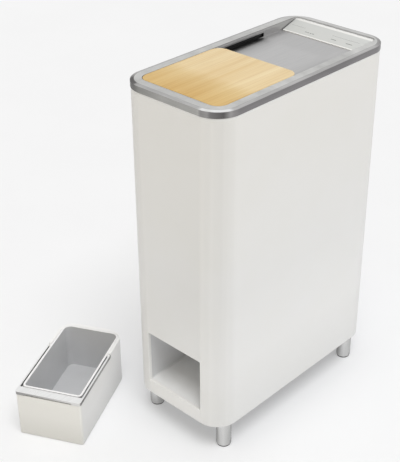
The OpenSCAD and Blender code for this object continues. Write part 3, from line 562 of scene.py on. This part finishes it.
MOTOR_PAINT = powder_coat("motor_paint", "3A3D40", "313437", 0.45)
BOARD_GREEN = board_lacquer("board_green")
FLEECE = pleated_fleece("filter_fleece")
HEATER_MAT = heater_mat("heater_mat")
LID_WOOD = lid_wood("lid_wood", lid_low.y, lid_high.y)

# Shared shapes

def add_piece(name, mesh, material, body):
    """A finished mesh becomes a piece that moves with a body of the model."""
    piece = bpy.data.objects.new(name, mesh)
    bpy.context.scene.collection.objects.link(piece)
    if material:
        mesh.materials.clear()
        mesh.materials.append(material)
    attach(piece, body)
    return piece


def softened(node, width, material, segments=2, angle=28):
    """A copy of a CAD node with its sharp edges rounded; it stands in for the node."""
    source = CAD[node]
    mesh = source.data.copy()
    mesh.transform(source.matrix_world)
    cleaned = bmesh.new()
    cleaned.from_mesh(mesh)
    bmesh.ops.remove_doubles(cleaned, verts=cleaned.verts, dist=0.002 * MM)
    bmesh.ops.dissolve_limit(
        cleaned, angle_limit=math.radians(0.3), verts=cleaned.verts, edges=cleaned.edges
    )
    for face in cleaned.faces:
        face.smooth = True
    cleaned.to_mesh(mesh)
    cleaned.free()
    piece = add_piece(node + "_finished", mesh, material, BODY_OF[node])
    bevel = piece.modifiers.new("rounded_edges", "BEVEL")
    bevel.width = width
    bevel.segments = segments
    bevel.limit_method = "ANGLE"
    bevel.angle_limit = math.radians(angle)
    bevel.harden_normals = True
    bevel.use_clamp_overlap = True
    bevel.miter_outer = "MITER_ARC"
    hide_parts(node)
    return piece


def paint(material, *nodes):
    """A CAD node that keeps its own mesh gets its finish."""
    for node in nodes:
        mesh = CAD[node].data
        mesh.materials.clear()
        mesh.materials.append(material)


def mesh_of(name, made):
    mesh = bpy.data.meshes.new(name)
    made.to_mesh(mesh)
    made.free()
    return mesh


def rounded_block(made, low, high, bevel, turn=None):
    """Adds a box with rounded edges between two corners, turned afterwards if asked."""
    size = Vector(high) - Vector(low)
    middle = (Vector(high) + Vector(low)) / 2
    place = Matrix.Translation(middle) @ Matrix.Diagonal((*size, 1))
    corners = bmesh.ops.create_cube(made, size=1.0, matrix=place)["verts"]
    edges = list({edge for corner in corners for edge in corner.link_edges})
    rounded = bmesh.ops.bevel(made, geom=edges, offset=bevel, segments=2, affect="EDGES", profile=0.5)
    if turn:
        found = {v for v in rounded["verts"]} | {v for v in corners if v.is_valid}
        bmesh.ops.transform(made, matrix=turn, verts=list(found))


def turned_shape(name, profile, steps, opening=None):
    """A profile of radius and height turned round Z; opening(angle, radius) may reshape a ring."""
    made = bmesh.new()
    rings = []
    for radius, height in profile:
        ring = []
        for step in range(steps):
            angle = 2 * math.pi * step / steps
            reach = opening(angle, radius) if opening else radius
            ring.append(made.verts.new((reach * math.cos(angle), reach * math.sin(angle), height)))
        rings.append(ring)
    for lower, upper in zip(rings, rings[1:]):
        for a in range(steps):
            b = (a + 1) % steps
            made.faces.new((lower[a], lower[b], upper[b], upper[a]))
    made.faces.new(list(reversed(rings[0])))
    made.faces.new(rings[-1])
    return mesh_of(name, made)


def socket_screw_head(name, radius, height):
    """Button head with a hexagonal socket, standing on the plane z = 0."""
    across = 0.42 * radius

    def hexagon(angle, reach):
        if reach > across:
            return reach
        return reach * math.cos(math.pi / 6) / math.cos((angle % (math.pi / 3)) - math.pi / 6)

    profile = [
        (radius, 0), (radius, 0.3 * height), (0.9 * radius, 0.68 * height), (0.68 * radius, 0.94 * height),
        (0.5 * radius, height), (across, height), (across, 0.4 * height)]
    return turned_shape(name, profile, 24, hexagon)


class Pattern:
    """A geometry node tree for something that repeats; its sizes are its named inputs."""

    def __init__(self, name, material):
        self.name = name
        self.tree = bpy.data.node_groups.new(name, "GeometryNodeTree")
        self.tree.interface.new_socket("Shape", in_out="OUTPUT", socket_type="NodeSocketGeometry")
        self.given = self.tree.nodes.new("NodeGroupInput")
        self.settings = {}
        self.material = self.size("Finish", material, "NodeSocketMaterial")

    def size(self, label, value, kind="NodeSocketFloat"):
        socket = self.tree.interface.new_socket(label, in_out="INPUT", socket_type=kind)
        self.settings[socket.identifier] = value
        return self.given.outputs[label]

    def count(self, label, value):
        return self.size(label, value, "NodeSocketInt")

    def add(self, kind, inputs=None, **settings):
        node = self.tree.nodes.new(kind)
        for key, value in settings.items():
            setattr(node, key, value)
        for key, value in (inputs or {}).items():
            if isinstance(value, bpy.types.NodeSocket):
                self.tree.links.new(value, node.inputs[key])
            else:
                node.inputs[key].default_value = value
        return node.outputs[0]

    def offset(self, x=0.0, y=0.0, z=0.0):
        return self.add("ShaderNodeCombineXYZ", {"X": x, "Y": y, "Z": z})

    def maths(self, operation, *values):
        node = self.tree.nodes.new("ShaderNodeMath")
        node.operation = operation
        for socket, value in zip(node.inputs, values):
            if isinstance(value, bpy.types.NodeSocket):
                self.tree.links.new(value, socket)
            else:
                socket.default_value = value
        return node.outputs[0]

    def moved(self, geometry, place, turn=(0, 0, 0)):
        return self.add("GeometryNodeTransform",
                        {"Geometry": geometry, "Translation": place, "Rotation": turn})

    def row(self, amount, pitch, start=(0, 0, 0)):
        return self.add("GeometryNodeMeshLine", {"Count": amount, "Start Location": start, "Offset": pitch})

    def each(self, points, shape, turn=(0, 0, 0)):
        return self.add("GeometryNodeInstanceOnPoints",
                        {"Points": points, "Instance": shape, "Rotation": turn})

    def swept(self, path, profile):
        return self.add("GeometryNodeCurveToMesh",
                        {"Curve": path, "Profile Curve": profile, "Fill Caps": True})

    def ring(self, radius, steps=32):
        return self.add("GeometryNodeCurvePrimitiveCircle", {"Radius": radius, "Resolution": steps})

    def joined(self, *parts):
        node = self.tree.nodes.new("GeometryNodeJoinGeometry")
        for part in parts:
            self.tree.links.new(part, node.inputs[0])
        return node.outputs[0]

    def mesh(self, geometry):
        """The pattern's result as a plain mesh."""
        real = self.add("GeometryNodeRealizeInstances", {"Geometry": geometry})
        dressed = self.add("GeometryNodeSetMaterial", {"Geometry": real, "Material": self.material})
        result = self.tree.nodes.new("NodeGroupOutput")
        self.tree.links.new(dressed, result.inputs[0])
        carrier = bpy.data.objects.new(self.name, bpy.data.meshes.new(self.name))
        bpy.context.scene.collection.objects.link(carrier)
        modifier = carrier.modifiers.new(self.name, "NODES")
        modifier.node_group = self.tree
        for identifier, value in self.settings.items():
            modifier[identifier] = value
        shaped = carrier.evaluated_get(bpy.context.evaluated_depsgraph_get())
        mesh = bpy.data.meshes.new_from_object(shaped)
        carrier.modifiers.remove(modifier)
        bpy.data.objects.remove(carrier)
        return mesh


# Finishes of the model's own pieces

softened("outer_shell", 0.9 * MM, CABINET_WHITE)
softened("top_rim", 0.4 * MM, RIM_STEEL)
softened("top_deck", 0.5 * MM, DECK_GREY)
softened("lid_panel", 1.3 * MM, LID_WOOD, segments=3)
softened("control_panel", 0.8 * MM, PANEL_WHITE)
softened("drawer_bay", 0.6 * MM, BAY_LINING)
softened("legs", 0.7 * MM, LEG_STEEL)
softened("drawer_shell", 1.8 * MM, DRAWER_WHITE, segments=3)
softened("inner_bin", 0.9 * MM, BIN_GREY, segments=3)
softened("drawer_handle", 0.9 * MM, HANDLE_STEEL, segments=3)
softened("rear_panel", 0.5 * MM, CABINET_WHITE)
softened("power_inlet", 0.5 * MM, BLACK_PLASTIC)

paint(RUBBER, "foot_pads", "hopper_seal", "drawer_glides")
paint(BLACK_PLASTIC, "lid_rails", "lid_carrier", "lid_shoes", "shaft_bushes", "gate_frame", "fan_housing")
paint(GREY_PLASTIC, "fan_impeller")
paint(BAY_GREY, "discharge_chute", "filter_housing")
paint(CHAMBER_STEEL, "hopper_throat", "chamber_trough", "chamber_cover", "agitator_shaft",
      "agitator_paddles", "discharge_gate")
paint(GEAR_STEEL, "driven_gear", "drive_pinion")
paint(GALVANISED, "base_plate", "inner_frame", "drive_bracket")
paint(ZINC, "leg_nuts", "panel_screws", "board_standoffs", "handle_pivots")
paint(MOTOR_PAINT, "gear_motor", "gate_actuator")
paint(HEATER_MAT, "heater_plate")
paint(FLEECE, "filter_cartridge")
paint(BOARD_GREEN, "main_board", "touch_board")

# Small pieces

def panel_point(x, along):
    """A point on the panel's slope: x across it, then the distance up from its front edge."""
    foot = Vector((x, panel_low.y, cad_high.z - RECESS_DEPTH))
    slope = Vector((0, PANEL_RUN, PANEL_RISE)).normalized()
    return foot + slope * along


def panel_marks():
    """Printed lines and short bars that mean nothing; their sizes are in millimetres."""
    made = bmesh.new()
    rise = Matrix.Rotation(math.atan2(PANEL_RISE, PANEL_RUN), 4, "X")
    line_width = 0.5
    short_bars, short_first, short_length, short_pitch = 4, -57, 5, 7
    short_along, short_width = 14.5, 1.8
    long_along, long_width = 15.8, 1.6

    def bar(x0, x1, along, width):
        middle = panel_point((x0 + x1) / 2 * MM, along * MM)
        half = Vector(((x1 - x0) / 2 * MM, width / 2 * MM, 0.06 * MM))
        rounded_block(made, -half, half, 0.05 * MM, Matrix.Translation(middle) @ rise)

    for x0, x1, along in ((-104, -64, 26.5), (12, 88, 28.5)):
        bar(x0, x1, along, line_width)
    for number in range(short_bars):
        left = short_first + short_pitch * number
        bar(left, left + short_length, short_along, short_width)
    for x0, x1 in ((17, 31), (59, 76)):
        bar(x0, x1, long_along, long_width)
    return mesh_of("panel_marks", made)


add_piece("panel_marks", panel_marks(), PANEL_PRINT, "cabinet")


def screw_rows(name, head, rows, height, upside_down=False):
    """Screw heads in rows; each row is its first place, its step and its number of screws."""
    pattern = Pattern(name, ZINC)
    shape = pattern.add("GeometryNodeObjectInfo", {"Object": pattern.size("Head", head, "NodeSocketObject")})
    shape = shape.node.outputs["Geometry"]
    level = pattern.size("Height", height)
    turn = (math.pi if upside_down else 0, 0, 0)
    parts = []
    for number, ((x, y), (step_x, step_y), amount) in enumerate(rows):
        screws = pattern.count("Screws in row %d" % (number + 1), amount)
        points = pattern.row(screws, (step_x, step_y, 0), (x, y, 0))
        parts.append(pattern.each(points, shape, turn))
    return pattern.mesh(pattern.moved(pattern.joined(*parts), pattern.offset(z=level)))


def motor_ribs(name, radius, pitch, amount, wire, place):
    """Cooling ribs: rings at even steps along Y."""
    pattern = Pattern(name, MOTOR_PAINT)
    circle = pattern.ring(pattern.size("Radius", radius), 48)
    ring = pattern.swept(circle, pattern.ring(pattern.size("Wire", wire), 8))
    steps = pattern.row(pattern.count("Ribs", amount), pattern.offset(y=pattern.size("Pitch", pitch)))
    return pattern.mesh(pattern.moved(pattern.each(steps, ring, (math.pi / 2, 0, 0)), place))


def round_screen(name, radius, pitch, wire, place):
    """A round woven screen in the XZ plane: each wire is as long as the circle lets it be."""
    pattern = Pattern(name, ZINC)
    reach = pattern.size("Radius", radius)
    step = pattern.size("Pitch", pitch)
    profile = pattern.ring(pattern.size("Wire", wire), 6)
    amount = int(2 * radius / pitch)
    start = -pitch * (amount - 1) / 2
    parts = []
    for letter, end, depth in (("X", (0, 0, 1), -wire), ("Z", (1, 0, 0), wire)):
        start_point = tuple(-v for v in end)
        line = pattern.add("GeometryNodeCurvePrimitiveLine", {"Start": start_point, "End": end})
        first = (start, depth, 0) if letter == "X" else (0, depth, start)
        points = pattern.row(amount, pattern.offset(**{letter.lower(): step}), first)
        place_of = pattern.add("ShaderNodeSeparateXYZ", {"Vector": pattern.add("GeometryNodeInputPosition")})
        off = place_of.node.outputs[letter]
        reach_squared = pattern.maths("MULTIPLY", reach, reach)
        square = pattern.maths("SUBTRACT", reach_squared, pattern.maths("MULTIPLY", off, off))
        half = pattern.maths("SQRT", pattern.maths("MAXIMUM", square, 0.0))
        scale = pattern.add("ShaderNodeCombineXYZ", {"X": 1.0, "Y": 1.0, "Z": half} if letter == "X"
                            else {"X": half, "Y": 1.0, "Z": 1.0})
        wires = pattern.each(points, pattern.swept(line, profile))
        pattern.tree.links.new(scale, wires.node.inputs["Scale"])
        parts.append(wires)
    return pattern.mesh(pattern.moved(pattern.joined(*parts), place))


def pin_rows(name, rows, amount, pitch, length, wire, place):
    """Upright pins in parallel rows along X."""
    pattern = Pattern(name, ZINC)
    line = pattern.add("GeometryNodeCurvePrimitiveLine", {"Start": (0, 0, 0), "End": (0, 0, length)})
    pin = pattern.swept(line, pattern.ring(pattern.size("Wire", wire), 8))
    offset = pattern.offset(x=pattern.size("Pitch", pitch))
    parts = [
        pattern.each(pattern.row(pattern.count("Pins", amount), offset, (0, y, 0)), pin) for y in rows]
    return pattern.mesh(pattern.moved(pattern.joined(*parts), place))


def screw_head_object(name, radius, height):
    head = bpy.data.objects.new(name, socket_screw_head(name, radius, height))
    bpy.context.scene.collection.objects.link(head)
    return head


base_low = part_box("base_plate")[0]
cover_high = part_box("chamber_cover")[1]
motor_low, motor_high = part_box("gear_motor")
board_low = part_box("main_board")[0]
vent_low, vent_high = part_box("rear_panel")

base_head = screw_head_object("base_screw", radius=4.2 * MM, height=2.4 * MM)
base_side_x, base_side_y, base_side_pitch = 125 * MM, -180 * MM, 90 * MM
base_end_x, base_end_y, base_end_pitch = -80 * MM, 266 * MM, 80 * MM
base_rows = [((side * base_side_x, base_side_y), (0, base_side_pitch), 5) for side in (-1, 1)]
base_rows += [((base_end_x, end * base_end_y), (base_end_pitch, 0), 3) for end in (-1, 1)]
base_screws = screw_rows("base_screws", base_head, base_rows, base_low.z, upside_down=True)
add_piece("base_screws", base_screws, None, "cabinet")

cover_head = screw_head_object("cover_screw", radius=3.0 * MM, height=2.0 * MM)
cover_side_x, cover_side_y, cover_pitch = 107.5 * MM, -180 * MM, 50 * MM
cover_rows = [((side * cover_side_x, cover_side_y), (0, cover_pitch), 5) for side in (-1, 1)]
cover_screws = screw_rows("cover_screws", cover_head, cover_rows, cover_high.z)
add_piece("cover_screws", cover_screws, None, "cabinet")
for head in (base_head, cover_head):
    bpy.data.objects.remove(head)

motor_middle = (motor_low + motor_high) / 2
first_rib = (0, motor_low.y + 30 * MM, motor_middle.z)
ribs = motor_ribs("motor_ribs", radius=motor_high.x - 0.4 * MM, pitch=7 * MM, amount=9,
                  wire=1.0 * MM, place=first_rib)
add_piece("motor_ribs", ribs, None, "cabinet")

vent_middle = (vent_low + vent_high) / 2
screen_place = (0, vent_low.y - 0.75 * MM, vent_middle.z)
screen = round_screen("vent_screen", radius=43 * MM, pitch=2.4 * MM, wire=0.25 * MM, place=screen_place)
add_piece("vent_screen", screen, None, "cabinet")

first_pin = (-52.5 * MM, board_low.y + 129.5 * MM, board_low.z + 12.5 * MM)
pins = pin_rows("board_pins", rows=(0, 5 * MM), amount=22, pitch=5 * MM, length=5 * MM,
                wire=0.4 * MM, place=first_pin)
add_piece("board_pins", pins, None, "cabinet")


# Room, light and camera

def seen_rays(tree):
    """1 for what is seen directly, in metal or through glass, and 0 for light on other things."""
    path = tree.nodes.new("ShaderNodeLightPath")
    found = path.outputs["Is Camera Ray"]
    for kind in ("Is Glossy Ray", "Is Transmission Ray"):
        either = tree.nodes.new("ShaderNodeMath")
        either.operation = "MAXIMUM"
        tree.links.new(found, either.inputs[0])
        tree.links.new(path.outputs[kind], either.inputs[1])
        found = either.outputs["Value"]
    return found


def studio_floor(size=60.0, glow=0.32):
    """Pale floor: part even background tone, part lit surface with the object's shadow."""
    made = bmesh.new()
    bmesh.ops.create_grid(made, x_segments=1, y_segments=1, size=size / 2)
    floor = bpy.data.objects.new("studio_floor", mesh_of("studio_floor", made))
    bpy.context.scene.collection.objects.link(floor)
    f = Finish("floor_white", 0.9, specular=0.0)
    f.colour(f.ramp(f.noise(f.place, 3.0), [(0.3, srgb("F5F6F8")), (0.7, srgb("F7F8FA"))]))
    even = f.add("ShaderNodeEmission", Strength=1.0)
    even.inputs["Color"].default_value = srgb("F6F6F6")
    mix = f.add("ShaderNodeMixShader")
    f.link(f.sum_of("MULTIPLY", seen_rays(f.tree), glow), mix.inputs["Fac"])
    f.link(f.shader.outputs["BSDF"], mix.inputs[1])
    f.link(even.outputs["Emission"], mix.inputs[2])
    f.link(mix.outputs["Shader"], f.tree.nodes["Material Output"].inputs["Surface"])
    floor.data.materials.append(f.material)


def studio_world(light=0.5):
    """Soft light from all round, a little warmer from the front; what is seen is near white."""
    world = bpy.data.worlds.new("studio")
    bpy.context.scene.world = world
    world.use_nodes = True
    tree = world.node_tree
    tree.nodes.clear()
    output = tree.nodes.new("ShaderNodeOutputWorld")
    lamp = tree.nodes.new("ShaderNodeBackground")
    seen = tree.nodes.new("ShaderNodeBackground")
    lamp.inputs["Strength"].default_value = light
    seen.inputs["Color"].default_value = srgb("F6F6F6")
    direction = tree.nodes.new("ShaderNodeSeparateXYZ")
    tree.links.new(tree.nodes.new("ShaderNodeTexCoord").outputs["Generated"], direction.inputs["Vector"])
    warmth = tree.nodes.new("ShaderNodeMapRange")
    warmth.inputs["From Min"].default_value = 0.1
    warmth.inputs["From Max"].default_value = -1.0
    tree.links.new(direction.outputs["Y"], warmth.inputs["Value"])
    tone = tree.nodes.new("ShaderNodeValToRGB")
    tone.color_ramp.elements[0].color = srgb("FEFEFF")
    tone.color_ramp.elements[1].color = srgb("FFF5E0")
    tree.links.new(warmth.outputs["Result"], tone.inputs["Fac"])
    tree.links.new(tone.outputs["Color"], lamp.inputs["Color"])
    mix = tree.nodes.new("ShaderNodeMixShader")
    tree.links.new(seen_rays(tree), mix.inputs["Fac"])
    tree.links.new(lamp.outputs["Background"], mix.inputs[1])
    tree.links.new(seen.outputs["Background"], mix.inputs[2])
    tree.links.new(mix.outputs["Shader"], output.inputs["Surface"])


def overhead_light(name, towards, strength, spread):
    """A broad even light from one direction; metal shows the pale room and not the lamp."""
    data = bpy.data.lights.new(name, "SUN")
    data.energy = strength
    data.angle = math.radians(spread)
    lamp = bpy.data.objects.new(name, data)
    lamp.rotation_mode = "QUATERNION"
    lamp.rotation_quaternion = Vector(towards).to_track_quat("Z", "Y")
    lamp.visible_glossy = False
    bpy.context.scene.collection.objects.link(lamp)


def photo_camera(place, yaw, pitch, roll, focal, centre, width=400, height=462):
    """The photograph's viewpoint: angles in radians, focal length and centre in pixels."""
    ahead = Vector((math.cos(pitch) * math.sin(yaw), math.cos(pitch) * math.cos(yaw), -math.sin(pitch)))
    right = Vector((math.cos(yaw), -math.sin(yaw), 0))
    down = ahead.cross(right)
    across = math.cos(roll) * right + math.sin(roll) * down
    below = -math.sin(roll) * right + math.cos(roll) * down
    data = bpy.data.cameras.new("photo_camera")
    data.sensor_width = 36.0
    data.lens = focal * data.sensor_width / max(width, height)
    data.shift_x = (width / 2 - centre[0]) / max(width, height)
    data.shift_y = (centre[1] - height / 2) / max(width, height)
    camera = bpy.data.objects.new("photo_camera", data)
    turn = Matrix((across, -below, -ahead)).transposed().to_4x4()
    camera.matrix_world = Matrix.Translation(place) @ turn
    bpy.context.scene.collection.objects.link(camera)
    bpy.context.scene.camera = camera


studio_floor()
studio_world()
overhead_light("overhead_softbox", towards=(0.19, -0.09, 0.5), strength=1.7, spread=35)
photo_camera(
    place=(1.3494, -1.5906, 1.6652), yaw=-0.75363, pitch=0.53571, roll=0.00235,
    focal=1030.8, centre=(212.1, 232.6),
)
bpy.context.scene.view_settings.view_transform = "Standard"
